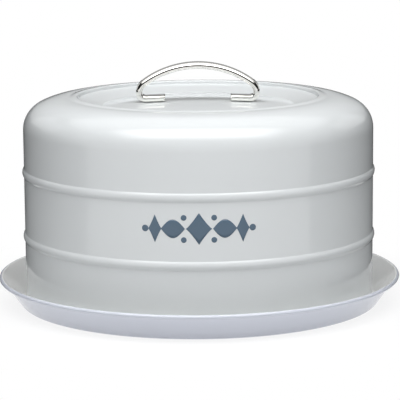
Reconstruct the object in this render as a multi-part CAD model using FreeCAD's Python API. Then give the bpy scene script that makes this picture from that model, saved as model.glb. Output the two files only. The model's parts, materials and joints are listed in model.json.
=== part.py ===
"""Cake dome of pressed steel: a dome with a bar handle that stands loose in a round tray.

Lengths are in millimetres and angles in degrees. The origin is the centre of the tray's
underside, +Z is up, the handle runs along X and the front of the dome faces -Y.
"""

import FreeCAD
import Part

import math
import os

# Tray: one pressed sheet with a flared wall and a rim rolled outwards
tray_sheet = 0.6
tray_height = 19.7
tray_flare = 16.9
tray_corner_radius = 3.0
tray_curl_radius = 1.5
tray_curl_turn = 285.0

# Dome wall: a straight cylinder with two swaged beads and a folded lower edge
dome_sheet = 0.6
dome_radius = 123.6
dome_gap = 2.0
dome_seat_gap = 0.3
hem_fold_radius = 1.0
hem_depth = 6.0
bead_width = 7.0
bead_rise = 1.2
bead_lip_radius = 1.2
lower_bead_height = 47.5
upper_bead_height = 93.0

# Dome top: rounded shoulder, crest, raised lip, slope, moat and the crowned floor that carries the handle
shoulder_height = 122.9
shoulder_radius = 19.5
shoulder_turn = 65.0
crest_bend_radius = 48.0
lip_run = 5.85
lip_rise = 0.85
lip_radius = 1.5
lip_turn = 75.0
riser_run = 1.2
crease_radius = 0.8
slope_run = 15.65
slope_fall = 15.0
moat_radius = 8.0
floor_radius = 770.0

# Handle: one bar bent into an arch, with both ends turned in to lie on the crowned floor
handle_width = 12.0
handle_thickness = 4.5
handle_outer_edge_radius = 2.8
handle_inner_edge_radius = 1.4
handle_length = 87.3
handle_rise = 27.43
handle_foot_bend = 7.0
handle_side_bend = 10.5
handle_foot_run = 13.3

# Fasteners: a pan-head screw and a washer under each foot, put in from inside the dome
screw_radius = 2.0
screw_head_radius = 4.0
screw_head_height = 2.4
screw_head_edge_radius = 1.2
drive_slot_width = 1.0
drive_slot_length = 4.4
drive_slot_depth = 1.2
screw_tip_gap = 0.4
foot_cover = 1.1
thread_gap = 0.06
hole_gap = 0.25
washer_radius = 5.0
washer_thickness = 0.8
cut_overrun = 2.0

# Places that follow from the sizes above
tray_floor_radius = dome_radius + dome_gap
tray_rim_radius = tray_floor_radius + tray_flare
dome_bottom = tray_sheet + dome_seat_gap
shoulder_angle = math.radians(shoulder_turn)
lip_angle = math.radians(lip_turn)
slope_angle = math.radians(slope_fall)
crest_radius = (dome_radius - shoulder_radius
                + (shoulder_radius - crest_bend_radius) * math.cos(shoulder_angle))
crest_height = (dome_bottom + shoulder_height + shoulder_radius * math.sin(shoulder_angle)
                + crest_bend_radius * (1 - math.sin(shoulder_angle)))
moat_bottom_radius = (crest_radius - lip_run - lip_radius * math.sin(lip_angle)
                      - riser_run * math.cos(lip_angle)
                      - crease_radius * (math.sin(lip_angle) - math.sin(slope_angle))
                      - slope_run * math.cos(slope_angle) - moat_radius * math.sin(slope_angle))
moat_bottom_height = (crest_height + lip_rise - lip_radius * (1 - math.cos(lip_angle))
                      - riser_run * math.sin(lip_angle)
                      - crease_radius * (math.cos(slope_angle) - math.cos(lip_angle))
                      - slope_run * math.sin(slope_angle) - moat_radius * (1 - math.cos(slope_angle)))
floor_angle = math.asin(moat_bottom_radius / (floor_radius + moat_radius))
floor_top = moat_bottom_height + (floor_radius + moat_radius) * (1 - math.cos(floor_angle))
floor_centre = FreeCAD.Vector(0, 0, floor_top - floor_radius)
floor_underside = floor_top - dome_sheet
washer_top = floor_centre.z + math.sqrt((floor_radius - dome_sheet) ** 2 - washer_radius ** 2)
foot_bend_x = handle_length / 2 - handle_foot_bend
foot_half_run = handle_foot_run / 2
bend_to_centre = floor_radius + handle_foot_bend
foot_tilt = (math.asin(foot_bend_x / math.hypot(bend_to_centre, foot_half_run))
             - math.atan2(foot_half_run, bend_to_centre))
hole_top = floor_top + handle_thickness - foot_cover
up = FreeCAD.Vector(0, 0, 1)
across = FreeCAD.Vector(0, 1, 0)


def run(length):
    """A straight move."""
    return [("run", length, 0)]


def turn(radius, angle):
    """A tangent arc; a positive angle turns to the left."""
    return [("turn", radius, angle)]


def step(length, drop):
    """Two equal arcs that move the line `drop` to its left over `length` and keep its heading."""
    angle = 2 * math.degrees(math.atan2(drop, length))
    radius = length / math.sin(math.radians(abs(angle))) / 2
    return turn(radius, angle) + turn(radius, -angle)


def bead():
    """A rounded swage that stands out to the right of a straight wall."""
    angle = 2 * math.degrees(math.atan2(2 * bead_rise, bead_width))
    crown = bead_width / math.sin(math.radians(angle)) / 2 - bead_lip_radius
    return turn(bead_lip_radius, -angle) + turn(crown, 2 * angle) + turn(bead_lip_radius, -angle)


def heading_vector(heading):
    """Unit vector of a heading in the XZ plane, counted from +X towards +Z."""
    angle = math.radians(heading)
    return FreeCAD.Vector(math.cos(angle), 0, math.sin(angle))


def trace(start, heading, moves, shift=0):
    """Edges of a line of runs and arcs, moved `shift` to its left, with its first and last points."""
    point = start + heading_vector(heading + 90) * shift
    first = point
    edges = []
    for kind, size, angle in moves:
        if kind == "run":
            end = point + heading_vector(heading) * size
            edges.append(Part.LineSegment(point, end).toShape())
        else:
            side = math.copysign(1, angle)
            radius = size - side * shift
            centre = point + heading_vector(heading + side * 90) * radius
            middle = centre - heading_vector(heading + angle / 2 + side * 90) * radius
            end = centre - heading_vector(heading + angle + side * 90) * radius
            edges.append(Part.Arc(point, middle, end).toShape())
            heading += angle
        point = end
    return edges, first, point


def spun_sheet(start, heading, moves, sheet):
    """Solid of revolution about Z of a sheet whose one face follows the moves."""
    face_edges, face_first, face_last = trace(start, heading, moves)
    back_edges, back_first, back_last = trace(start, heading, moves, sheet)
    ends = [Part.LineSegment(face, back).toShape()
            for face, back in ((face_first, back_first), (face_last, back_last))]
    outline = Part.Wire(Part.__sortEdges__(face_edges + back_edges + ends))
    return Part.Face(outline).revolve(FreeCAD.Vector(0, 0, 0), up, 360)


def rod(radius, low, high):
    """Upright cylinder on the dome's axis."""
    return Part.makeCylinder(radius, high - low, FreeCAD.Vector(0, 0, low), up)


def seated(shape, side):
    """A shape made on the dome's axis, swung about the crowned floor's centre to the left or right foot."""
    return shape.rotated(floor_centre, across, side * math.degrees(foot_tilt))


def make_tray():
    """Flat floor, rounded corner, flared wall tangent to the corner and to the rolled rim."""
    curl_inside = tray_curl_radius - tray_sheet
    outwards = tray_rim_radius - tray_curl_radius - tray_floor_radius
    rise = tray_height - tray_curl_radius - tray_corner_radius
    apart = math.hypot(outwards, rise)
    sideways = tray_corner_radius + curl_inside
    wall_angle = math.degrees(math.atan2(rise, outwards) + math.asin(sideways / apart))
    wall_length = math.sqrt(apart ** 2 - sideways ** 2)
    moves = (run(tray_floor_radius) + turn(tray_corner_radius, wall_angle) + run(wall_length)
             + turn(curl_inside, -tray_curl_turn))
    return spun_sheet(FreeCAD.Vector(0, 0, 0), 0, moves, tray_sheet)


def make_dome_shell():
    """Hem, beaded wall, shoulder, crest, lip, slope, moat and crowned floor, with a hole under each foot."""
    half_bead = bead_width / 2
    floor_half_turn = math.degrees(floor_angle)
    moves = (run(hem_depth - hem_fold_radius) + turn(hem_fold_radius, 180)
             + run(lower_bead_height - hem_fold_radius - half_bead) + bead()
             + run(upper_bead_height - lower_bead_height - bead_width) + bead()
             + run(shoulder_height - upper_bead_height - half_bead)
             + turn(shoulder_radius, shoulder_turn) + turn(crest_bend_radius, 90 - shoulder_turn)
             + step(lip_run, -lip_rise) + turn(lip_radius, lip_turn) + run(riser_run)
             + turn(crease_radius, slope_fall - lip_turn) + run(slope_run)
             + turn(moat_radius, -slope_fall - floor_half_turn) + turn(floor_radius, floor_half_turn))
    start = FreeCAD.Vector(dome_radius - 2 * hem_fold_radius, 0, dome_bottom + hem_depth)
    shell = spun_sheet(start, -90, moves, dome_sheet)
    hole = rod(screw_radius + hole_gap, floor_underside - cut_overrun, floor_top + cut_overrun)
    for side in (-1, 1):
        shell = shell.cut(seated(hole, side))
    return shell


def bar_section():
    """Section of the bar about the origin, square to X; its lower side lies outermost on the arch."""
    half_width = handle_width / 2
    half_height = handle_thickness / 2
    edges = []
    for side_z, radius in ((-1, handle_outer_edge_radius), (1, handle_inner_edge_radius)):
        flat_y = half_width - radius
        flat_z = half_height - radius
        diagonal = radius * math.sqrt(2) / 2
        ends = []
        for side_y in (-1, 1):
            level = FreeCAD.Vector(0, side_y * flat_y, side_z * half_height)
            corner = FreeCAD.Vector(0, side_y * (flat_y + diagonal), side_z * (flat_z + diagonal))
            upright = FreeCAD.Vector(0, side_y * half_width, side_z * flat_z)
            edges.append(Part.Arc(level, corner, upright).toShape())
            ends.append(level)
        edges.append(Part.LineSegment(ends[0], ends[1]).toShape())
    low = handle_outer_edge_radius - half_height
    high = half_height - handle_inner_edge_radius
    for side_y in (-1, 1):
        edges.append(Part.LineSegment(FreeCAD.Vector(0, side_y * half_width, low),
                                      FreeCAD.Vector(0, side_y * half_width, high)).toShape())
    return Part.Wire(Part.__sortEdges__(edges))


def make_handle():
    """Bar along foot, foot bend, side bend and arch, all tangent, with a blind tapped hole in each foot."""
    half_bar = handle_thickness / 2
    tilt = math.degrees(foot_tilt)
    foot_bend = handle_foot_bend - half_bar
    side_bend = handle_side_bend - half_bar
    foot_outer_x = foot_bend_x - foot_bend * math.sin(foot_tilt)
    foot_middle_z = floor_centre.z + (floor_radius + half_bar) * math.cos(foot_tilt)
    foot_rise = foot_half_run * math.sin(foot_tilt)
    bend_z = foot_middle_z - foot_rise + foot_bend * math.cos(foot_tilt)
    reach = handle_length / 2 - handle_side_bend
    rise = floor_top + handle_rise - bend_z
    arch_radius = (reach ** 2 + rise ** 2 - handle_side_bend ** 2) / (2 * (rise - handle_side_bend))
    arch_half_turn = math.degrees(math.atan2(reach, arch_radius - rise))
    moves = (run(handle_foot_run) + turn(foot_bend, -90 - tilt) + turn(side_bend, arch_half_turn - 90)
             + turn(arch_radius - half_bar, -2 * arch_half_turn)
             + turn(side_bend, arch_half_turn - 90) + turn(foot_bend, -90 - tilt) + run(handle_foot_run))
    foot_inner_x = foot_outer_x - handle_foot_run * math.cos(foot_tilt)
    start = FreeCAD.Vector(-foot_inner_x, 0, foot_middle_z + foot_rise)
    section = bar_section().rotated(FreeCAD.Vector(0, 0, 0), across, -tilt).translated(start)
    bar = Part.Wire(trace(start, 180 + tilt, moves)[0]).makePipeShell([section], True, False)
    hole = rod(screw_radius + thread_gap, floor_top - cut_overrun, hole_top)
    for side in (-1, 1):
        bar = bar.cut(seated(hole, side))
    return bar


def make_screw():
    """Shank, pan head with a rounded edge and a cross-shaped drive, on the dome's axis."""
    head_top = washer_top - washer_thickness
    head_bottom = head_top - screw_head_height
    head = rod(screw_head_radius, head_bottom, head_top)
    lower_edges = [edge for edge in head.Edges if edge.BoundBox.ZMax < (head_bottom + head_top) / 2]
    head = head.makeFillet(screw_head_edge_radius, lower_edges)
    for size_x, size_y in ((drive_slot_length, drive_slot_width), (drive_slot_width, drive_slot_length)):
        corner = FreeCAD.Vector(-size_x / 2, -size_y / 2, head_bottom - cut_overrun)
        head = head.cut(Part.makeBox(size_x, size_y, drive_slot_depth + cut_overrun, corner))
    return head.fuse(rod(screw_radius, head_top, hole_top - screw_tip_gap)).removeSplitter()


def make_washer():
    """Plain washer between the screw's head and the underside of the floor, on the dome's axis."""
    low = washer_top - washer_thickness
    hole = rod(screw_radius + hole_gap, low - cut_overrun, washer_top + cut_overrun)
    return rod(washer_radius, low, washer_top).cut(hole)


def main():
    """Build every piece and write it under its own name."""
    pieces = {"tray": make_tray(), "dome_shell": make_dome_shell(), "handle": make_handle()}
    for name, side in (("left", -1), ("right", 1)):
        pieces["handle_screw_" + name] = seated(make_screw(), side)
        pieces["handle_washer_" + name] = seated(make_washer(), side)
    os.makedirs("parts", exist_ok=True)
    for name, shape in pieces.items():
        box = shape.optimalBoundingBox()
        print(f"{name}: {len(shape.Solids)} solid, valid {shape.isValid()}, {shape.Volume:.1f} mm3, "
              f"x {box.XMin:.2f}..{box.XMax:.2f}, z {box.ZMin:.2f}..{box.ZMax:.2f}")
        shape.exportStep(f"parts/{name}.step")


main()
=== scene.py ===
"""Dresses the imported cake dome: a painted dome with a bright bar handle, loose in a painted tray.

Lengths are in metres and angles in degrees, in the frame of the solids: the origin is the centre
of the tray's underside, +Z is up, X runs along the handle and the front of the dome faces -Y. The
tray, the dome and the handle are surfaces worked out from profiles; the screws and washers are
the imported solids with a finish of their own.
"""
from __future__ import annotations

import json
import logging
import math
from dataclasses import dataclass, replace
from enum import Enum

import bpy
import numpy as np
from bpy.types import ID, Material, Mesh, Node, NodeOutputs, NodeSocket, NodeTree, Object
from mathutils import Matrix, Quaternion, Vector

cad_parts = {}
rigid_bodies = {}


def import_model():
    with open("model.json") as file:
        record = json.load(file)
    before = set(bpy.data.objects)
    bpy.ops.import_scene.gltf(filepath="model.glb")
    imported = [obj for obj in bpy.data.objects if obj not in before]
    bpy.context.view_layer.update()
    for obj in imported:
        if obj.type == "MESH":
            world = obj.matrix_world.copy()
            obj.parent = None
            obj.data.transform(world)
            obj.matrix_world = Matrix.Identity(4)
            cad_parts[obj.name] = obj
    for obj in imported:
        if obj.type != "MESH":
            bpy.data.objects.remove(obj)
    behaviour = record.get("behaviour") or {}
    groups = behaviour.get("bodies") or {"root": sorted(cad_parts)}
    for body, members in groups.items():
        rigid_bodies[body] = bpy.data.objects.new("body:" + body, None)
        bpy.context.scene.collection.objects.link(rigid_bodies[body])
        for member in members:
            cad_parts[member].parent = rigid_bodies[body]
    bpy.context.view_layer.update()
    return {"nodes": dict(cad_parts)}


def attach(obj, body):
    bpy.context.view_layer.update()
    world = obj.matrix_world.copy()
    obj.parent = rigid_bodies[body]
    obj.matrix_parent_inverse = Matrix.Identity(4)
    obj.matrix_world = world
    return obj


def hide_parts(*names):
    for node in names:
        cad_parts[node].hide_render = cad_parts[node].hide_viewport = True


LOG = logging.getLogger("cake_dome")
BACK_SIDE = "back_side"
FULL_TURN = 2.0 * math.pi
WHITE = (1.0, 1.0, 1.0, 1.0)

Colour = tuple[float, float, float]
Point = tuple[float, float, float]


class Bend(Enum):
    """The two kinds of stretch that a profile is made of."""

    RUN = "run"
    TURN = "turn"


@dataclass(frozen=True)
class Stretch:
    """One stretch of a profile: a run of a length, or a turn of a radius and an angle."""

    bend: Bend
    size: float
    angle: float = 0.0


def run(length: float) -> list[Stretch]:
    """A straight stretch."""
    return [Stretch(Bend.RUN, length)]


def turn(radius: float, angle: float) -> list[Stretch]:
    """A tangent arc; a positive angle turns to the left."""
    return [Stretch(Bend.TURN, radius, angle)]


def step(length: float, drop: float) -> list[Stretch]:
    """Two equal arcs that move the line to its left and keep its heading.

    Args:
        length: Distance along the line.
        drop: Distance to the left; a negative one goes to the right.

    Returns:
        The two arcs. Each turns by twice the angle whose tangent is drop over length.
    """
    angle = 2.0 * math.degrees(math.atan2(drop, length))
    radius = length / math.sin(math.radians(abs(angle))) / 2.0
    return turn(radius, angle) + turn(radius, -angle)


def left_of(heading: np.ndarray | float) -> np.ndarray:
    """Unit vectors to the left of headings in radians, counted from across towards up."""
    return np.stack([-np.sin(heading), np.cos(heading)], axis=-1)


@dataclass(frozen=True)
class Fineness:
    """How closely points follow a profile: the gap between chord and arc, and points on a run."""

    sag: float
    run_points: int
    fewest_chords: int = 3
    least_cosine: float = 0.5

    def steps(self, radius: float, sweep: float) -> int:
        """Number of chords that keep an arc, its sweep in radians, within the sag."""
        pace = 2.0 * math.acos(max(1.0 - self.sag / radius, self.least_cosine))
        return max(self.fewest_chords, math.ceil(abs(sweep) / pace))


@dataclass(frozen=True)
class Profile:
    """A plane line of tangent runs and turns: its start, its first heading and its stretches."""

    start: tuple[float, float]
    heading: float
    stretches: list[Stretch]

    def points(self, fineness: Fineness, shift: float = 0.0) -> tuple[np.ndarray, np.ndarray]:
        """Points along the line, moved sideways, and the line's headings there.

        A run's points crowd towards its ends: their share of the length is half of one minus the
        cosine of an even share of pi. A turn's points lie at even angles about its centre, at its
        radius less the shift on a left turn and plus the shift on a right turn.

        Args:
            fineness: How closely the points follow the line.
            shift: Distance to the left of the line.

        Returns:
            The points, across and up, and the headings in radians.
        """
        heading = math.radians(self.heading)
        here = np.array(self.start) + shift * left_of(heading)
        places = [here[None, :]]
        headings = [np.array([heading])]
        for stretch in self.stretches:
            if stretch.bend is Bend.RUN:
                even = np.linspace(0.0, math.pi, fineness.run_points + 1)[1:]
                share = (1.0 - np.cos(even)) / 2.0
                forward = -left_of(heading + math.pi / 2.0)
                places.append(here + share[:, None] * stretch.size * forward)
                headings.append(np.full(fineness.run_points, heading))
            else:
                side = math.copysign(1.0, stretch.angle)
                radius = stretch.size - side * shift
                sweep = math.radians(stretch.angle)
                chords = fineness.steps(radius, sweep)
                angles = heading + np.linspace(0.0, sweep, chords + 1)[1:]
                centre = here + side * radius * left_of(heading)
                places.append(centre - side * radius * left_of(angles))
                headings.append(angles)
                heading += sweep
            here = places[-1][-1]
        return np.concatenate(places), np.concatenate(headings)


def add_object(name: str, data: ID) -> Object:
    """Makes an object of a mesh, a lamp or a camera and puts it into the scene.

    Args:
        name: Name of the object.
        data: What the object shows.

    Returns:
        The new object.
    """
    thing = bpy.data.objects.new(name, data)
    bpy.context.scene.collection.objects.link(thing)
    return thing


def aim(thing: Object, place: Point, target: Point, roll: float = 0.0) -> None:
    """Puts a lamp or a camera in its place and points it at a target.

    Args:
        thing: The lamp or camera.
        place: Where it stands.
        target: What it points at.
        roll: Turn about its line of sight.
    """
    sight = (Vector(target) - Vector(place)).to_track_quat("-Z", "Y")
    thing.location = place
    thing.rotation_mode = "QUATERNION"
    thing.rotation_quaternion = sight @ Quaternion((0.0, 0.0, 1.0), math.radians(roll))


def add_piece(name: str, vertices: np.ndarray, faces: list[list[int]]) -> Object:
    """Makes a smooth mesh object at the origin.

    Args:
        name: Name of the object and its mesh.
        vertices: One row per vertex, in metres.
        faces: Vertex numbers of each face, counter-clockwise seen from outside.

    Returns:
        The new object.
    """
    mesh = bpy.data.meshes.new(name)
    mesh.from_pydata(vertices.tolist(), [], faces)
    mesh.polygons.foreach_set("use_smooth", np.ones(len(mesh.polygons), dtype=bool))
    mesh.update()
    return add_object(name, mesh)


def grid_quads(rows: int, columns: int) -> np.ndarray:
    """Vertex numbers of the quads of an open grid that is stored row by row.

    Args:
        rows: Number of rows of points.
        columns: Number of points in a row.

    Returns:
        Four numbers for each quad: a point, the one in the next row, and the two beside them.
    """
    first = np.arange(rows - 1)[:, None] * columns + np.arange(columns - 1)
    corners = [first, first + columns, first + columns + 1, first + 1]
    return np.stack(corners, axis=-1).reshape(-1, 4)


def mark_sharp(mesh: Mesh, around: int, sharp_rings: np.ndarray) -> None:
    """Marks the edges that run along some rings of a skin as sharp.

    Args:
        mesh: Mesh made by skin().
        around: Number of points on a ring.
        sharp_rings: Numbers of the rings to mark.
    """
    ends = np.empty(len(mesh.edges) * 2, dtype=np.int32)
    mesh.edges.foreach_get("vertices", ends)
    rings = ends.reshape(-1, 2) // around
    sharp = (rings[:, 0] == rings[:, 1]) & np.isin(rings[:, 0], sharp_rings)
    mesh.edges.foreach_set("use_edge_sharp", sharp)


def skin(name: str, rings: np.ndarray, poles: np.ndarray, sharp_rings: np.ndarray) -> Object:
    """Closes a stack of rings into one skin, with a fan of triangles at each end.

    Face i, j joins ring i and ring i + 1 between their points j and j + 1, counted round the
    ring, so the cross product of the way round and the way along the stack points outwards.

    Args:
        name: Name of the piece.
        rings: Points by ring, place on the ring and axis.
        poles: The two points that close the first and the last ring.
        sharp_rings: Numbers of the rings that are sharp edges.

    Returns:
        The new object.
    """
    count, around, _ = rings.shape
    here = np.arange(around)
    there = (here + 1) % around
    base = np.arange(count - 1)[:, None] * around
    above = base + around
    quads = np.stack([base + here, base + there, above + there, above + here], axis=-1)
    first_pole = np.full(around, count * around)
    end = (count - 1) * around
    fans = np.concatenate([
        np.stack([first_pole, there, here], axis=-1),
        np.stack([end + here, end + there, first_pole + 1], axis=-1),
    ])
    vertices = np.concatenate([rings.reshape(-1, 3), poles])
    piece = add_piece(name, vertices, quads.reshape(-1, 4).tolist() + fans.tolist())
    mark_sharp(piece.data, around, sharp_rings)
    return piece


def lathe(name: str, outline: np.ndarray, around: int, sharp_points: np.ndarray) -> Object:
    """Spins an outline about Z.

    A point of the outline at radius r and height z gives, at each even angle a, the point
    r cos a, r sin a, z. The outline starts and ends on the axis, with the material on its left.

    Args:
        name: Name of the piece.
        outline: Radius and height of each point, from axis to axis.
        around: Number of points in one turn.
        sharp_points: Numbers of the outline's points that become sharp edges.

    Returns:
        The new object.
    """
    angle = np.arange(around) * FULL_TURN / around
    radius, height = outline[1:-1, 0, None], outline[1:-1, 1, None]
    level = height + 0.0 * angle
    rings = np.stack([radius * np.cos(angle), radius * np.sin(angle), level], axis=-1)
    poles = np.array([[0.0, 0.0, outline[0, 1]], [0.0, 0.0, outline[-1, 1]]])
    return skin(name, rings, poles, sharp_points - 1)


class AxisEnd(Enum):
    """Which end of a sheet's profile lies on the axis that it is spun about."""

    START = "start"
    FINISH = "finish"


@dataclass(frozen=True)
class SpunSheet:
    """A sheet of even thickness spun about Z, with a fineness for its face and its back.

    The face is the profile itself and the back lies to its left. The mark on the back ends at a
    radius, past which the back counts as face.
    """

    profile: Profile
    thickness: float
    axis_end: AxisEnd
    face: Fineness
    back: Fineness
    around: int
    mark_reach: float = math.inf

    def build(self, name: str) -> Object:
        """Joins the face line and the back line to one outline, spins it and marks its back.

        Args:
            name: Name of the piece.

        Returns:
            The new object.
        """
        face, _ = self.profile.points(self.face)
        back, _ = self.profile.points(self.back, self.thickness)
        sides = [(face, 0.0), (back[::-1], 1.0)]
        if self.axis_end is AxisEnd.FINISH:
            sides.reverse()
        lengths = [len(line) for line, _ in sides]
        outline = np.concatenate([line for line, _ in sides])
        piece = lathe(name, outline, self.around, np.array([lengths[0] - 1, lengths[0]]))
        on_back = np.repeat([mark for _, mark in sides], lengths)
        on_back = on_back * (outline[:, 0] <= self.mark_reach)
        values = np.concatenate([np.repeat(on_back[1:-1], self.around), on_back[[0, -1]]])
        marks = piece.data.attributes.new(BACK_SIDE, "FLOAT", "POINT")
        marks.data.foreach_set("value", values.astype(np.float32))
        return piece


class Graph:
    """Adds nodes to a node tree, sets their sockets and links them."""

    def __init__(self, tree: NodeTree) -> None:
        """Keeps the tree that the nodes go into."""
        self.tree = tree

    def add(self, kind: str, inputs: dict | None = None, **settings: object) -> Node:
        """Adds one node.

        Args:
            kind: Blender's name of the node type.
            inputs: Values by socket name or number; a socket as value is linked.
            settings: Properties of the node, set before its sockets.

        Returns:
            The new node.
        """
        node = self.tree.nodes.new(kind)
        for name, value in settings.items():
            setattr(node, name, value)
        self.feed(node, inputs or {})
        return node

    def feed(self, node: Node, inputs: dict) -> None:
        """Sets or links input sockets of a node.

        Args:
            node: Node to feed.
            inputs: Values by socket name or number; a socket as value is linked.
        """
        for key, value in inputs.items():
            if isinstance(value, NodeSocket):
                self.tree.links.new(value, node.inputs[key])
            else:
                node.inputs[key].default_value = value

    def maths(self, operation: str, *values: object) -> NodeSocket:
        """Result of one Math node, fed with numbers or sockets in order."""
        return self.add("ShaderNodeMath", dict(enumerate(values)), operation=operation).outputs[0]

    def ramp(self, value: object, low: float, high: float, at_low: object = 0.0,
             at_high: object = 1.0) -> NodeSocket:
        """Smooth step from one level to another while a value goes from low to high."""
        inputs = {0: value, 1: low, 2: high, 3: at_low, 4: at_high}
        return self.add("ShaderNodeMapRange", inputs, interpolation_type="SMOOTHSTEP").outputs[0]

    def noise(self, place: object, size: object, detail: float,
              distortion: float = 0.0) -> NodeSocket:
        """Value of a noise, about 0 to 1; its size is the number of waves in a metre."""
        inputs = {"Vector": place, "Scale": size, "Detail": detail, "Distortion": distortion}
        return self.add("ShaderNodeTexNoise", inputs).outputs[0]

    def scaled(self, colour: object, level: object) -> NodeSocket:
        """A colour times a level."""
        inputs = {0: colour, "Scale": level}
        return self.add("ShaderNodeVectorMath", inputs, operation="SCALE").outputs[0]

    def group(self, tree: NodeTree, inputs: dict) -> NodeSocket:
        """The one output of a node group fed with some inputs."""
        return self.add("ShaderNodeGroup", inputs, node_tree=tree).outputs[0]

    def place(self) -> NodeSocket:
        """Object coordinates."""
        return self.add("ShaderNodeTexCoord").outputs["Object"]


NUMBER = "NodeSocketFloat"
COLOUR = "NodeSocketColor"
GroupStart = tuple[Graph, NodeOutputs, Node]


@dataclass
class Effects:
    """Node groups that several finishes share. Each one reads Object coordinates."""

    coarse_detail: float = 1.0
    fine_detail: float = 2.0
    fine_ratio: float = 6.0
    cloud_detail: float = 4.0
    cloud_middle: float = 0.5
    smear_detail: float = 5.0
    smear_distortion: float = 0.6
    smear_range: tuple[float, float] = (0.35, 0.70)
    line_detail: float = 3.0

    def __post_init__(self) -> None:
        """Builds every group once."""
        self.ripple = self.make_ripple()
        self.tint = self.make_tint()
        self.gloss = self.make_gloss()
        self.lines = self.make_lines()

    @staticmethod
    def start(name: str, inputs: dict[str, str], output: tuple[str, str]) -> GroupStart:
        """Starts a group.

        Args:
            name: Name of the group.
            inputs: Socket types by name.
            output: Name and type of its one output.

        Returns:
            The graph of the group, the sockets of its input node and its output node.
        """
        tree = bpy.data.node_groups.new(name, "ShaderNodeTree")
        for socket, kind in inputs.items():
            tree.interface.new_socket(socket, in_out="INPUT", socket_type=kind)
        tree.interface.new_socket(output[0], in_out="OUTPUT", socket_type=output[1])
        graph = Graph(tree)
        return graph, graph.add("NodeGroupInput").outputs, graph.add("NodeGroupOutput")

    def make_ripple(self) -> NodeTree:
        """Unevenness of a sprayed or rolled coat: a coarse noise plus a share of a finer one.

        Returns:
            The group.
        """
        inputs = {"Size": NUMBER, "Fine": NUMBER}
        graph, given, result = self.start("coat_ripple", inputs, ("Height", NUMBER))
        place = graph.place()
        coarse = graph.noise(place, given["Size"], self.coarse_detail)
        fine_size = graph.maths("MULTIPLY", given["Size"], self.fine_ratio)
        fine = graph.noise(place, fine_size, self.fine_detail)
        graph.feed(result, {"Height": graph.maths("MULTIPLY_ADD", fine, given["Fine"], coarse)})
        return graph.tree

    def make_tint(self) -> NodeTree:
        """Slow change of a colour, darker and lighter by a cloudy noise about its middle.

        Returns:
            The group.
        """
        inputs = {"Colour": COLOUR, "Amount": NUMBER, "Size": NUMBER}
        graph, given, result = self.start("tint_drift", inputs, ("Colour", COLOUR))
        noise = graph.noise(graph.place(), given["Size"], self.cloud_detail)
        cloud = graph.maths("SUBTRACT", noise, self.cloud_middle)
        level = graph.maths("MULTIPLY_ADD", cloud, given["Amount"], 1.0)
        graph.feed(result, {"Colour": graph.scaled(given["Colour"], level)})
        return graph.tree

    def make_gloss(self) -> NodeTree:
        """Roughness that wanders between two levels, as where a surface is handled and wiped.

        Returns:
            The group.
        """
        inputs = {"Smooth": NUMBER, "Dull": NUMBER, "Size": NUMBER}
        graph, given, result = self.start("gloss_drift", inputs, ("Roughness", NUMBER))
        smear = graph.noise(graph.place(), given["Size"], self.smear_detail, self.smear_distortion)
        level = graph.ramp(smear, *self.smear_range, given["Smooth"], given["Dull"])
        graph.feed(result, {"Roughness": level})
        return graph.tree

    def make_lines(self) -> NodeTree:
        """Polishing lines along X: a noise drawn out by its waves in a metre along and across.

        Returns:
            The group.
        """
        inputs = {"Along": NUMBER, "Across": NUMBER}
        graph, given, result = self.start("polish_lines", inputs, ("Height", NUMBER))
        along, across = given["Along"], given["Across"]
        waves = graph.add("ShaderNodeCombineXYZ", {0: along, 1: across, 2: across}).outputs[0]
        inputs = {0: graph.place(), 1: waves}
        drawn = graph.add("ShaderNodeVectorMath", inputs, operation="MULTIPLY").outputs[0]
        graph.feed(result, {"Height": graph.noise(drawn, 1.0, self.line_detail)})
        return graph.tree


def start_material(name: str, colour: Colour) -> tuple[Material, Graph, Node]:
    """Starts a material on a Principled shader.

    Args:
        name: Name of the material.
        colour: Main colour, also shown in solid view.

    Returns:
        The material, its graph and its shader node.
    """
    material = bpy.data.materials.new(name)
    material.use_nodes = True
    material.diffuse_color = (*colour, 1.0)
    graph = Graph(material.node_tree)
    return material, graph, material.node_tree.nodes["Principled BSDF"]


@dataclass(frozen=True)
class Finish:
    """A finish whose colour drifts, whose gloss wanders and whose surface ripples a little.

    The values given here are those of a gloss enamel.
    """

    name: str
    colour: Colour
    smooth: float = 0.07
    dull: float = 0.12
    tint_amount: float = 0.03
    tint_size: float = 9.0
    gloss_size: float = 22.0
    bump_height: float = 0.000010
    ripple_size: float = 160.0
    ripple_fine: float = 0.15
    metallic: float = 0.0

    def ground(self, graph: Graph) -> object:
        """Colour before its drift, as a value or a socket."""
        return (*self.colour, 1.0)

    def height(self, graph: Graph, effects: Effects) -> NodeSocket:
        """Height of the coat's ripple."""
        return graph.group(effects.ripple, {"Size": self.ripple_size, "Fine": self.ripple_fine})

    def make(self, effects: Effects) -> Material:
        """Builds the material.

        Args:
            effects: Shared node groups.

        Returns:
            The material.
        """
        material, graph, shader = start_material(self.name, self.colour)
        tint = graph.group(effects.tint, {
            "Colour": self.ground(graph), "Amount": self.tint_amount, "Size": self.tint_size,
        })
        gloss = graph.group(effects.gloss, {
            "Smooth": self.smooth, "Dull": self.dull, "Size": self.gloss_size,
        })
        bump = graph.add("ShaderNodeBump", {
            "Height": self.height(graph, effects), "Strength": 1.0, "Distance": self.bump_height,
        })
        graph.feed(shader, {
            "Base Color": tint, "Roughness": gloss, "Normal": bump.outputs["Normal"],
            "Metallic": self.metallic,
        })
        return material


@dataclass(frozen=True)
class Plating(Finish):
    """A bright metal finish with fine polishing lines along X."""

    lines_along: float = 60.0
    lines_across: float = 2600.0

    def height(self, graph: Graph, effects: Effects) -> NodeSocket:
        """Height of the polishing lines."""
        return graph.group(effects.lines, {"Along": self.lines_along, "Across": self.lines_across})


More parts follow.
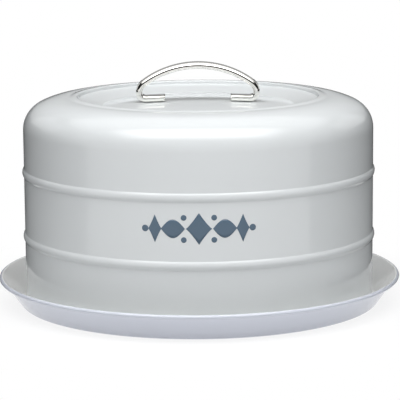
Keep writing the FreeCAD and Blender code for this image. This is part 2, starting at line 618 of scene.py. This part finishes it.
@dataclass(frozen=True)
class PaintedLightFinish(Finish):
    """A finish lighter where a spun sheet carries the mark of its back, as painted light on that
    side.
    """

    # painted light: a lighter colour stands in for the light that the tray's inner wall and rolled
    # rim receive
    painted_light_back_colour: Colour = (0.90, 0.90, 0.89)

    def ground(self, graph: Graph) -> NodeSocket:
        """Mix of the colour and the painted-light back colour by the sheet's mark; the Mix node's
        colours are inputs 6 and 7.

        Args:
            graph: Graph of the material.

        Returns:
            The mixed colour.
        """
        mark = graph.add("ShaderNodeAttribute", attribute_name=BACK_SIDE).outputs["Fac"]
        # painted light: the marked back takes the lighter colour
        inputs = {0: mark, 6: (*self.colour, 1.0), 7: (*self.painted_light_back_colour, 1.0)}
        return graph.add("ShaderNodeMix", inputs, data_type="RGBA").outputs[2]


def dress(piece: Object, material: Material) -> None:
    """Gives a piece one material all over."""
    piece.data.materials.clear()
    piece.data.materials.append(material)


@dataclass
class Tray:
    """The tray: a flat floor, a rounded corner and a flared wall with a rim rolled outwards."""

    sheet: float = 0.0006
    height: float = 0.0197
    floor_radius: float = 0.1256
    flare: float = 0.0169
    corner_radius: float = 0.0030
    curl_radius: float = 0.0015
    curl_turn: float = 285.0
    around: int = 288
    face: Fineness = Fineness(0.000004, 14)
    back: Fineness = Fineness(0.000004, 14)

    def profile(self) -> Profile:
        """Line on the underside, from the axis to the end of the rolled rim.

        The wall is the line that touches the corner's circle and the rim's circle. Its angle is
        that of the line between their centres plus the angle whose sine is the sum of the radii
        over the distance between the centres.

        Returns:
            The profile.
        """
        curl_inside = self.curl_radius - self.sheet
        across = self.flare - self.curl_radius
        rise = self.height - self.curl_radius - self.corner_radius
        apart = math.hypot(across, rise)
        sideways = self.corner_radius + curl_inside
        wall_angle = math.degrees(math.atan2(rise, across) + math.asin(sideways / apart))
        wall_length = math.sqrt(apart ** 2 - sideways ** 2)
        stretches = (run(self.floor_radius) + turn(self.corner_radius, wall_angle)
                     + run(wall_length) + turn(curl_inside, -self.curl_turn))
        return Profile((0.0, 0.0), 0.0, stretches)

    def build(self, paint: Material) -> Object:
        """Makes the tray in the place of its node, its back marked up to the top of the rim, where
        the finish paints a lighter colour as painted light.

        Args:
            paint: Finish of the tray.

        Returns:
            The piece.
        """
        rim_middle = self.floor_radius + self.flare - self.curl_radius
        sheet = SpunSheet(self.profile(), self.sheet, AxisEnd.START, self.face, self.back,
                          self.around, rim_middle)
        piece = sheet.build("tray_pressing")
        dress(piece, paint)
        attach(piece, "tray")
        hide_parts("tray")
        return piece


@dataclass
class DomeShell:
    """The dome: a folded edge, a wall with two beads, a rounded shoulder and a recessed top."""

    sheet: float = 0.0006
    bottom: float = 0.0009
    radius: float = 0.1236
    hem_fold_radius: float = 0.0010
    hem_depth: float = 0.0060
    bead_width: float = 0.0070
    bead_rise: float = 0.0012
    bead_lip_radius: float = 0.0012
    lower_bead_height: float = 0.0475
    upper_bead_height: float = 0.0930
    shoulder_height: float = 0.1229
    shoulder_radius: float = 0.0195
    shoulder_turn: float = 65.0
    crest_bend_radius: float = 0.0480
    lip_run: float = 0.00585
    lip_rise: float = 0.00085
    lip_radius: float = 0.0015
    lip_turn: float = 75.0
    riser_run: float = 0.0012
    crease_radius: float = 0.0008
    slope_run: float = 0.01565
    slope_fall: float = 15.0
    moat_radius: float = 0.0080
    floor_radius: float = 0.770
    around: int = 288
    face: Fineness = Fineness(0.000005, 9)
    back: Fineness = Fineness(0.000025, 5)

    @property
    def crest(self) -> np.ndarray:
        """End of the shoulder, where the sheet is level.

        Returns:
            Its radius and height.
        """
        shoulder = math.radians(self.shoulder_turn)
        across = (self.radius - self.shoulder_radius
                  + (self.shoulder_radius - self.crest_bend_radius) * math.cos(shoulder))
        up = (self.bottom + self.shoulder_height + self.shoulder_radius * math.sin(shoulder)
              + self.crest_bend_radius * (1.0 - math.sin(shoulder)))
        return np.array([across, up])

    @property
    def moat_bottom(self) -> np.ndarray:
        """Lowest ring of the top: the crest less lip, riser, slope and moat.

        Returns:
            Its radius and height.
        """
        lip, slope = math.radians(self.lip_turn), math.radians(self.slope_fall)
        inwards = (self.lip_run + self.lip_radius * math.sin(lip)
                   + self.riser_run * math.cos(lip)
                   + self.crease_radius * (math.sin(lip) - math.sin(slope))
                   + self.slope_run * math.cos(slope) + self.moat_radius * math.sin(slope))
        down = (self.lip_radius * (1.0 - math.cos(lip)) + self.riser_run * math.sin(lip)
                + self.crease_radius * (math.cos(slope) - math.cos(lip))
                + self.slope_run * math.sin(slope)
                + self.moat_radius * (1.0 - math.cos(slope)) - self.lip_rise)
        return self.crest - np.array([inwards, down])

    @property
    def floor_half_turn(self) -> float:
        """Half the angle of the crowned floor, from the moat's round bottom to the axis."""
        reach = self.floor_radius + self.moat_radius
        return math.degrees(math.asin(self.moat_bottom[0] / reach))

    @property
    def floor_top(self) -> float:
        """Height of the crowned floor on the axis."""
        hollow = 1.0 - math.cos(math.radians(self.floor_half_turn))
        return float(self.moat_bottom[1] + (self.floor_radius + self.moat_radius) * hollow)

    def bead(self) -> list[Stretch]:
        """A rounded swage that stands out to the right of a straight wall.

        Returns:
            Its two lips and the crown between them, whose angle makes the rise over half the
            width.
        """
        angle = 2.0 * math.degrees(math.atan2(2.0 * self.bead_rise, self.bead_width))
        crown = self.bead_width / math.sin(math.radians(angle)) / 2.0 - self.bead_lip_radius
        lip = turn(self.bead_lip_radius, -angle)
        return lip + turn(crown, 2.0 * angle) + lip

    def profile(self) -> Profile:
        """Line on the outer face, from the end of the fold inside the wall up and in to the axis.

        Returns:
            The profile.
        """
        half_bead = self.bead_width / 2.0
        between_beads = self.upper_bead_height - self.lower_bead_height - self.bead_width
        hem = run(self.hem_depth - self.hem_fold_radius) + turn(self.hem_fold_radius, 180.0)
        wall = (run(self.lower_bead_height - self.hem_fold_radius - half_bead) + self.bead()
                + run(between_beads) + self.bead()
                + run(self.shoulder_height - self.upper_bead_height - half_bead))
        shoulder = (turn(self.shoulder_radius, self.shoulder_turn)
                    + turn(self.crest_bend_radius, 90.0 - self.shoulder_turn))
        recess = (step(self.lip_run, -self.lip_rise) + turn(self.lip_radius, self.lip_turn)
                  + run(self.riser_run)
                  + turn(self.crease_radius, self.slope_fall - self.lip_turn)
                  + run(self.slope_run)
                  + turn(self.moat_radius, -self.slope_fall - self.floor_half_turn)
                  + turn(self.floor_radius, self.floor_half_turn))
        start = (self.radius - 2.0 * self.hem_fold_radius, self.bottom + self.hem_depth)
        return Profile(start, -90.0, hem + wall + shoulder + recess)

    def build(self, paint: Material) -> Object:
        """Makes the dome in the place of its node.

        Args:
            paint: Finish of the dome.

        Returns:
            The piece.
        """
        sheet = SpunSheet(self.profile(), self.sheet, AxisEnd.FINISH, self.face, self.back,
                          self.around)
        piece = sheet.build("dome_pressing")
        dress(piece, paint)
        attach(piece, "dome")
        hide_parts("dome_shell")
        return piece


@dataclass
class Handle:
    """The handle: one arched flat bar, its ends turned in to lie on the crowned floor."""

    floor_top: float
    floor_radius: float
    width: float = 0.0120
    thickness: float = 0.0045
    outer_edge_radius: float = 0.0028
    inner_edge_radius: float = 0.0014
    length: float = 0.0873
    rise: float = 0.02743
    foot_bend: float = 0.0070
    side_bend: float = 0.0105
    foot_run: float = 0.0133
    end_bevel: float = 0.0002
    along: Fineness = Fineness(0.000003, 14)
    edge: Fineness = Fineness(0.000008, 7)

    def path(self) -> Profile:
        """Middle line of the bar in the XZ plane: foot, foot bend, side bend, arch and back again.

        The middle of each foot touches the crowned floor. So with t as its tilt, the floor's
        radius plus the foot bend, times sin t, plus half the foot's run, times cos t, make half
        the length less the foot bend. The arch's radius follows from the reach of its end and its
        rise above the foot bends, so that it touches both side bends.

        Returns:
            The profile.
        """
        half_bar = self.thickness / 2.0
        half_run = self.foot_run / 2.0
        to_centre = self.floor_radius + self.foot_bend
        foot_reach = self.length / 2.0 - self.foot_bend
        tilt = (math.asin(foot_reach / math.hypot(to_centre, half_run))
                - math.atan2(half_run, to_centre))
        foot_bend, side_bend = self.foot_bend - half_bar, self.side_bend - half_bar
        foot_outer = foot_reach - foot_bend * math.sin(tilt)
        floor_centre = self.floor_top - self.floor_radius
        foot_middle = floor_centre + (self.floor_radius + half_bar) * math.cos(tilt)
        foot_rise = math.sin(tilt) * half_run
        reach = self.length / 2.0 - self.side_bend
        rise = self.floor_top + self.rise - foot_middle + foot_rise - foot_bend * math.cos(tilt)
        arch_radius = ((reach ** 2 + rise ** 2 - self.side_bend ** 2)
                       / (2.0 * (rise - self.side_bend)))
        arch_half = math.degrees(math.atan2(reach, arch_radius - rise))
        foot = turn(foot_bend, -90.0 - math.degrees(tilt))
        side = turn(side_bend, arch_half - 90.0)
        arch = turn(arch_radius - half_bar, -2.0 * arch_half)
        stretches = run(self.foot_run) + foot + side + arch + side + foot + run(self.foot_run)
        start = (self.foot_run * math.cos(tilt) - foot_outer, foot_middle + foot_rise)
        return Profile(start, 180.0 + math.degrees(tilt), stretches)

    def section(self) -> np.ndarray:
        """Rounded rectangle of the bar about its middle, rounder on the arch's outer side.

        Returns:
            Points across and up, counter-clockwise, the first not repeated.
        """
        inner_flat = self.width - 2.0 * self.inner_edge_radius
        outer_flat = self.width - 2.0 * self.outer_edge_radius
        side = run(self.thickness - self.inner_edge_radius - self.outer_edge_radius)
        inner, outer = turn(self.inner_edge_radius, 90.0), turn(self.outer_edge_radius, 90.0)
        stretches = (run(inner_flat) + inner + side + outer
                     + run(outer_flat) + outer + side + inner)
        loop = Profile((-inner_flat / 2.0, -self.thickness / 2.0), 0.0, stretches)
        return loop.points(self.edge)[0][:-1]

    def build(self, plating: Material) -> Object:
        """Carries the section along the path, with a small bevel at each cut end.

        A point of the section at across a and up u lies at the path's point plus u times its left
        normal, a along Y.

        Args:
            plating: Finish of the bar.

        Returns:
            The piece.
        """
        middle, heading = self.path().points(self.along)
        section = self.section()
        inset = section * (1.0 - 2.0 * self.end_bevel / np.array([self.width, self.thickness]))
        ends = middle[[0, -1]]
        forward = -left_of(heading[[0, -1]] + math.pi / 2.0)
        bevelled = ends + np.array([[1.0], [-1.0]]) * self.end_bevel * forward
        middle = np.concatenate([ends[:1], bevelled[:1], middle[1:-1], bevelled[1:], ends[1:]])
        heading = np.concatenate([heading[:1], heading, heading[-1:]])
        sections = np.repeat(section[None], len(middle), axis=0)
        sections[[0, -1]] = inset
        lifted = middle[:, None, :] + sections[:, :, 1:] * left_of(heading)[:, None, :]
        rings = np.stack([lifted[..., 0], sections[..., 0], lifted[..., 1]], axis=-1)
        poles = np.array([[ends[0, 0], 0.0, ends[0, 1]], [ends[1, 0], 0.0, ends[1, 1]]])
        count = len(middle)
        piece = skin("handle_bar", rings, poles, np.array([0, 1, count - 2, count - 1]))
        dress(piece, plating)
        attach(piece, "dome")
        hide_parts("handle")
        return piece


@dataclass
class Fasteners:
    """The screws and washers inside the dome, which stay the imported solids."""

    kinds: tuple[str, ...] = ("handle_screw", "handle_washer")
    sides: tuple[str, ...] = ("left", "right")

    def build(self, nodes: dict[str, Object], steel: Material) -> list[Object]:
        """Gives each node its finish.

        Args:
            nodes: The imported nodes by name.
            steel: Finish of the fasteners.

        Returns:
            The nodes that were dressed.
        """
        pieces = [nodes[f"{kind}_{side}"] for kind in self.kinds for side in self.sides]
        for piece in pieces:
            dress(piece, steel)
        return pieces


class MotifShape(Enum):
    """Outlines that the printed ornament is made of."""

    LOZENGE = "lozenge"
    LEAF = "leaf"
    DOT = "dot"


@dataclass(frozen=True)
class Motif:
    """One printed shape: its outline, its middle along the wall, its half sizes and its lift."""

    shape: MotifShape
    along: float
    half_width: float
    half_height: float
    up: float = 0.0
    lozenge_power: float = 1.25

    def half_heights(self, share: np.ndarray) -> np.ndarray:
        """Half height of the shape across its width.

        A lozenge falls as a power of one minus the distance from its middle, a leaf as a cosine,
        and a dot as the root of one minus the distance squared.

        Args:
            share: Distance from the middle, from -1 to 1.

        Returns:
            The half heights.
        """
        away = np.abs(share)
        if self.shape is MotifShape.LOZENGE:
            return self.half_height * (1.0 - away) ** self.lozenge_power
        if self.shape is MotifShape.LEAF:
            return self.half_height * np.cos(away * math.pi / 2.0)
        return self.half_height * np.sqrt(1.0 - away ** 2)


@dataclass
class FrontOrnament:
    """A symmetrical printed ornament of lozenges, leaves and dots on the front of the wall."""

    wall_radius: float
    middle_height: float = 0.0736
    lift: float = 0.00002
    thickness: float = 0.00006
    tip_share: float = 0.995
    grid: tuple[int, int] = (49, 7)
    motifs: tuple[Motif, ...] = (
        Motif(MotifShape.LOZENGE, 0.0, 0.0088, 0.0106),
        Motif(MotifShape.LEAF, 0.0172, 0.0080, 0.0062),
        Motif(MotifShape.LOZENGE, 0.0292, 0.0046, 0.0094),
        Motif(MotifShape.DOT, 0.0358, 0.0022, 0.0022),
        Motif(MotifShape.DOT, 0.0100, 0.0019, 0.0019, 0.0074),
        Motif(MotifShape.DOT, 0.0100, 0.0019, 0.0019, -0.0074),
    )

    def patch(self, motif: Motif) -> np.ndarray:
        """Grid of points of one motif, wrapped round the wall and cut off just short of its tips.

        At a distance a along the wall and a height h, the point lies at radius r and angle a over
        r from the front: r sin(a / r), -r cos(a / r), h.

        Args:
            motif: The printed shape.

        Returns:
            Points by place along, place up and axis.
        """
        rows, columns = self.grid
        share, up = np.meshgrid(np.linspace(-self.tip_share, self.tip_share, rows),
                                np.linspace(-1.0, 1.0, columns), indexing="ij")
        radius = self.wall_radius + self.lift
        angle = (motif.along + motif.half_width * share) / radius
        height = self.middle_height + motif.up + up * motif.half_heights(share)
        return np.stack([radius * np.sin(angle), -radius * np.cos(angle), height], axis=-1)

    def build(self, ink: Material) -> Object:
        """Makes every motif on both sides of the middle as one thin printed layer.

        Args:
            ink: Finish of the print.

        Returns:
            The piece.
        """
        mirrored = [replace(motif, along=-motif.along) for motif in self.motifs if motif.along]
        patches = np.stack([self.patch(motif) for motif in (*self.motifs, *mirrored)])
        offsets = np.arange(len(patches))[:, None, None] * math.prod(self.grid)
        quads = (grid_quads(*self.grid) + offsets).reshape(-1, 4)
        piece = add_piece("front_ornament", patches.reshape(-1, 3), quads.tolist())
        solid = piece.modifiers.new("ink_thickness", "SOLIDIFY")
        solid.thickness = self.thickness
        solid.offset = 1.0
        dress(piece, ink)
        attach(piece, "dome")
        return piece


@dataclass(frozen=True)
class LightArch:
    """A diffuser bent over the object about X, whose light fades to its edges and its two ends.

    The angles are elevations counted from the front horizon over the top to the back: where the
    light starts, where it is full, where it starts to fall and where it ends.
    """

    radius: float = 1.5
    half_width: float = 1.6
    full_half_width: float = 0.55
    middle_height: float = 0.10
    angles: tuple[float, float, float, float] = (36.0, 57.0, 73.0, 96.0)
    strength: float = 5.7
    back_share: float = 0.02
    grid: tuple[int, int] = (33, 9)

    def material(self) -> Material:
        """Light that grows from the front edge, holds over the top and fades back and sideways.

        Returns:
            The material.
        """
        material, graph, shader = start_material("diffuser", WHITE[:3])
        parts = graph.add("ShaderNodeSeparateXYZ", {0: graph.place()}).outputs
        height = graph.maths("SUBTRACT", parts["Z"], self.middle_height)
        towards_front = graph.maths("MULTIPLY", parts["Y"], -1.0)
        angle = graph.maths("ARCTAN2", height, towards_front)
        sideways = graph.maths("ABSOLUTE", parts["X"])
        front_low, front_high, back_high, back_low = [math.radians(value) for value in self.angles]
        rising = graph.ramp(angle, front_low, front_high)
        falling = graph.ramp(angle, back_high, back_low, 1.0, self.back_share)
        ending = graph.ramp(sideways, self.full_half_width, self.half_width, 1.0, 0.0)
        share = graph.maths("MULTIPLY", graph.maths("MULTIPLY", rising, falling), ending)
        level = graph.maths("MULTIPLY", share, self.strength)
        light = graph.add("ShaderNodeEmission", {"Color": WHITE, "Strength": level})
        graph.tree.nodes.remove(shader)
        graph.feed(material.node_tree.nodes["Material Output"], {"Surface": light.outputs[0]})
        return material

    def build(self) -> None:
        """Makes the diffuser, unseen by the camera itself.

        At an elevation a and a place x across, a point lies at x, -r cos a, r sin a above the
        middle height.
        """
        rows, columns = self.grid
        elevations = np.radians(np.linspace(self.angles[0], self.angles[-1], rows))
        places = np.linspace(-self.half_width, self.half_width, columns)
        angle, across = np.meshgrid(elevations, places, indexing="ij")
        height = self.middle_height + self.radius * np.sin(angle)
        points = np.stack([across, -self.radius * np.cos(angle), height], axis=-1)
        piece = add_piece("light_arch", points.reshape(-1, 3), grid_quads(*self.grid).tolist())
        dress(piece, self.material())
        piece.visible_camera = False


@dataclass(frozen=True)
class Flag:
    """A card bent round the object's axis, out of the picture, that shows in the gloss.

    It runs between two angles from the front and from a lower edge to an upper edge, each given
    by its radius and height. Where it blocks light, it also shades the object.
    """

    name: str
    from_angle: float
    to_angle: float
    first_edge: tuple[float, float]
    last_edge: tuple[float, float]
    grey: float = 0.0
    blocks_light: bool = True
    around: int = 25

    def build(self, card: Material) -> None:
        """Makes the card, unseen by the camera itself.

        At an angle a from the front, an edge of radius r and height h lies at r sin a, -r cos a,
        h.

        Args:
            card: Its finish.
        """
        angle = np.radians(np.linspace(self.from_angle, self.to_angle, self.around))[:, None]
        edges = np.array([self.first_edge, self.last_edge])
        radius, height = edges.T
        across, front = radius * np.sin(angle), -radius * np.cos(angle)
        points = np.stack([across, front, height + 0.0 * angle], axis=-1)
        quads = grid_quads(self.around, len(edges))
        piece = add_piece(self.name, points.reshape(-1, 3), quads.tolist())
        dress(piece, card)
        piece.visible_camera = False
        piece.visible_diffuse = self.blocks_light
        piece.visible_shadow = self.blocks_light


@dataclass(frozen=True)
class FillLamp:
    """A soft lamp that lifts the back of the object and leaves no reflection."""

    place: Point = (0.0, 1.75, 0.32)
    target: Point = (0.0, 0.0, 0.08)
    width: float = 0.5
    height: float = 0.5
    power: float = 15.0

    def build(self) -> None:
        """Makes the lamp."""
        data = bpy.data.lights.new("back_fill", "AREA")
        data.shape = "RECTANGLE"
        data.size, data.size_y = self.width, self.height
        data.energy = self.power
        lamp = add_object("back_fill", data)
        aim(lamp, self.place, self.target)
        lamp.visible_camera = False
        lamp.visible_glossy = False


@dataclass(frozen=True)
class Mottle:
    """Faint unevenness of a plain stage surface: its noise and how far the colour drifts."""

    size: float
    detail: float
    drift: tuple[float, float]
    noise_range: tuple[float, float] = (0.2, 0.8)

    def tint(self, graph: Graph, colour: Colour) -> NodeSocket:
        """The colour, made darker and lighter by the noise."""
        noise = graph.noise(graph.place(), self.size, self.detail)
        return graph.scaled(colour, graph.ramp(noise, *self.noise_range, *self.drift))


@dataclass
class Studio:
    """A white sweep under a light arch, with a fill lamp behind and cards round the object."""

    floor_size: float = 12.0
    floor_points: int = 13
    floor_colour: Colour = (0.86, 0.865, 0.88)
    floor_roughness: float = 0.7
    floor_mottle: Mottle = Mottle(3.0, 2.0, (0.98, 1.02))
    clear_from: float = 0.15
    clear_to: float = 0.24
    contact_share: float = 0.85
    glow: float = 0.62
    ambient: float = 0.03
    card_colour: Colour = (0.012, 0.012, 0.013)
    card_roughness: float = 0.9
    card_mottle: Mottle = Mottle(40.0, 3.0, (0.8, 1.2))
    flags: tuple[Flag, ...] = (
        Flag("back_card", 90.0, 270.0, (0.26, 0.001), (0.26, 0.160), blocks_light=False),
        Flag("low_ring_card", 0.0, 360.0, (0.165, 0.001), (0.165, 0.040), blocks_light=False),
        Flag("left_glow_card", -146.0, -108.0, (1.60, 0.18), (1.60, 1.10),
             grey=0.75, blocks_light=False),
        Flag("right_glow_card", 108.0, 146.0, (1.60, 0.18), (1.60, 1.10),
             grey=0.75, blocks_light=False),
        Flag("left_side_card", -112.0, -58.0, (0.25, 0.006), (0.25, 0.165)),
        Flag("right_side_card", 58.0, 112.0, (0.25, 0.006), (0.25, 0.165)),
        Flag("room_front", -150.0, 150.0, (2.40, 0.35), (2.40, 2.10)),
        Flag("room_back", 150.0, 210.0, (2.40, 0.19), (2.40, 2.10), grey=0.30),
    )

    @staticmethod
    def seen_directly(graph: Graph) -> NodeSocket:
        """One for camera, glossy and transmission rays, nothing for rays that carry soft light.

        Args:
            graph: Graph of the material or the world.

        Returns:
            The socket.
        """
        rays = graph.add("ShaderNodeLightPath").outputs
        total = graph.maths("ADD", rays["Is Camera Ray"], rays["Is Glossy Ray"])
        return graph.maths("MINIMUM", graph.maths("ADD", total, rays["Is Transmission Ray"]), 1.0)

    def floor_material(self) -> Material:
        """Pale floor that keeps a soft shadow by the tray and clears to white farther out.

        Returns:
            The material.
        """
        material, graph, shader = start_material("pale_sweep", self.floor_colour)
        colour = self.floor_mottle.tint(graph, self.floor_colour)
        graph.feed(shader, {"Base Color": colour, "Roughness": self.floor_roughness})
        inputs = {0: graph.place()}
        away = graph.add("ShaderNodeVectorMath", inputs, operation="LENGTH").outputs["Value"]
        clear = graph.ramp(away, self.clear_from, self.clear_to, self.contact_share, 1.0)
        seen = graph.maths("MULTIPLY", clear, self.seen_directly(graph))
        share = graph.maths("MAXIMUM", seen, self.glow)
        white = graph.add("ShaderNodeEmission", {"Color": WHITE, "Strength": 1.0})
        inputs = {0: share, 1: shader.outputs[0], 2: white.outputs[0]}
        mixed = graph.add("ShaderNodeMixShader", inputs)
        graph.feed(material.node_tree.nodes["Material Output"], {"Surface": mixed.outputs[0]})
        return material

    def card_material(self, grey: float) -> Material:
        """Dull card with a faint mottle, dark in itself, that shows as an even grey in the gloss.

        Args:
            grey: How bright it shows.

        Returns:
            The material.
        """
        material, graph, shader = start_material(f"card_{grey:.3f}", self.card_colour)
        graph.feed(shader, {
            "Base Color": self.card_mottle.tint(graph, self.card_colour),
            "Roughness": self.card_roughness,
            "Emission Color": WHITE,
            "Emission Strength": grey,
        })
        return material

    def build_floor(self) -> None:
        """Lays the floor at the tray's underside."""
        half = self.floor_size / 2.0
        places = np.linspace(-half, half, self.floor_points)
        x, y = np.meshgrid(places, places, indexing="ij")
        points = np.stack([x, y, 0.0 * x], axis=-1).reshape(-1, 3)
        floor = add_piece("floor", points, grid_quads(*x.shape).tolist())
        dress(floor, self.floor_material())

    def build_world(self) -> None:
        """White all round where it is seen directly, and a soft grey where it only lights."""
        world = bpy.data.worlds.new("white_studio")
        world.use_nodes = True
        bpy.context.scene.world = world
        graph = Graph(world.node_tree)
        soft, white = [
            graph.add("ShaderNodeBackground", {"Color": WHITE, "Strength": strength}).outputs[0]
            for strength in (self.ambient, 1.0)
        ]
        inputs = {0: self.seen_directly(graph), 1: soft, 2: white}
        mixed = graph.add("ShaderNodeMixShader", inputs)
        graph.feed(world.node_tree.nodes["World Output"], {"Surface": mixed.outputs[0]})

    def build(self) -> None:
        """Makes the floor, the world, the light arch, the fill lamp and the cards."""
        self.build_floor()
        self.build_world()
        LightArch().build()
        FillLamp().build()
        cards = {flag.grey: self.card_material(flag.grey) for flag in self.flags}
        for flag in self.flags:
            flag.build(cards[flag.grey])


@dataclass
class PhotoCamera:
    """The camera: a long lens a little above the object, rolled slightly on its line of sight."""

    place: Point = (0.0, -1.4647, 0.3296)
    target: Point = (0.0009, 0.0, 0.0710)
    roll: float = -0.449
    lens: float = 187.9
    sensor: float = 36.0

    def build(self) -> None:
        """Makes the camera and sets it as the scene's own."""
        data = bpy.data.cameras.new("camera")
        data.lens = self.lens
        data.sensor_width = self.sensor
        camera = add_object("camera", data)
        aim(camera, self.place, self.target, self.roll)
        bpy.context.scene.camera = camera


DOME_ENAMEL = Finish("dome_enamel", (0.665, 0.690, 0.700))
# the tray's inside and rolled rim carry painted light: a lighter colour in place of the light they
# get
TRAY_ENAMEL_AND_PAINTED_LIGHT = PaintedLightFinish("tray_enamel_painted_light", (0.622, 0.648, 0.722))
PRINT_INK = Finish(
    "slate_print", (0.080, 0.127, 0.181), smooth=0.16, dull=0.26,
    tint_amount=0.12, tint_size=60.0, gloss_size=60.0, bump_height=0.000006,
    ripple_size=400.0, ripple_fine=0.3,
)
BRIGHT_PLATING = Plating(
    "bright_plating", (0.86, 0.85, 0.81), smooth=0.035, dull=0.075,
    tint_amount=0.02, tint_size=40.0, gloss_size=70.0, bump_height=0.0000015, metallic=1.0,
)
ZINC_STEEL = Plating(
    "zinc_steel", (0.56, 0.57, 0.58), smooth=0.28, dull=0.42,
    tint_amount=0.15, tint_size=220.0, gloss_size=260.0, bump_height=0.000010, metallic=1.0,
)


def main() -> None:
    """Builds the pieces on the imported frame, the studio and the camera."""
    logging.basicConfig(level=logging.INFO, format="%(name)s: %(message)s")
    for leftover in list(bpy.data.objects):
        bpy.data.objects.remove(leftover)
    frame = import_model()
    bpy.context.scene.view_settings.view_transform = "Standard"

    effects = Effects()
    shell = DomeShell()
    pieces = [
        Tray().build(TRAY_ENAMEL_AND_PAINTED_LIGHT.make(effects)),
        shell.build(DOME_ENAMEL.make(effects)),
        Handle(shell.floor_top, shell.floor_radius).build(BRIGHT_PLATING.make(effects)),
        FrontOrnament(shell.radius).build(PRINT_INK.make(effects)),
        *Fasteners().build(frame["nodes"], ZINC_STEEL.make(effects)),
    ]
    for piece in pieces:
        LOG.info("%s: %d faces", piece.name, len(piece.data.polygons))
    Studio().build()
    PhotoCamera().build()


if __name__ == "__main__":
    main()
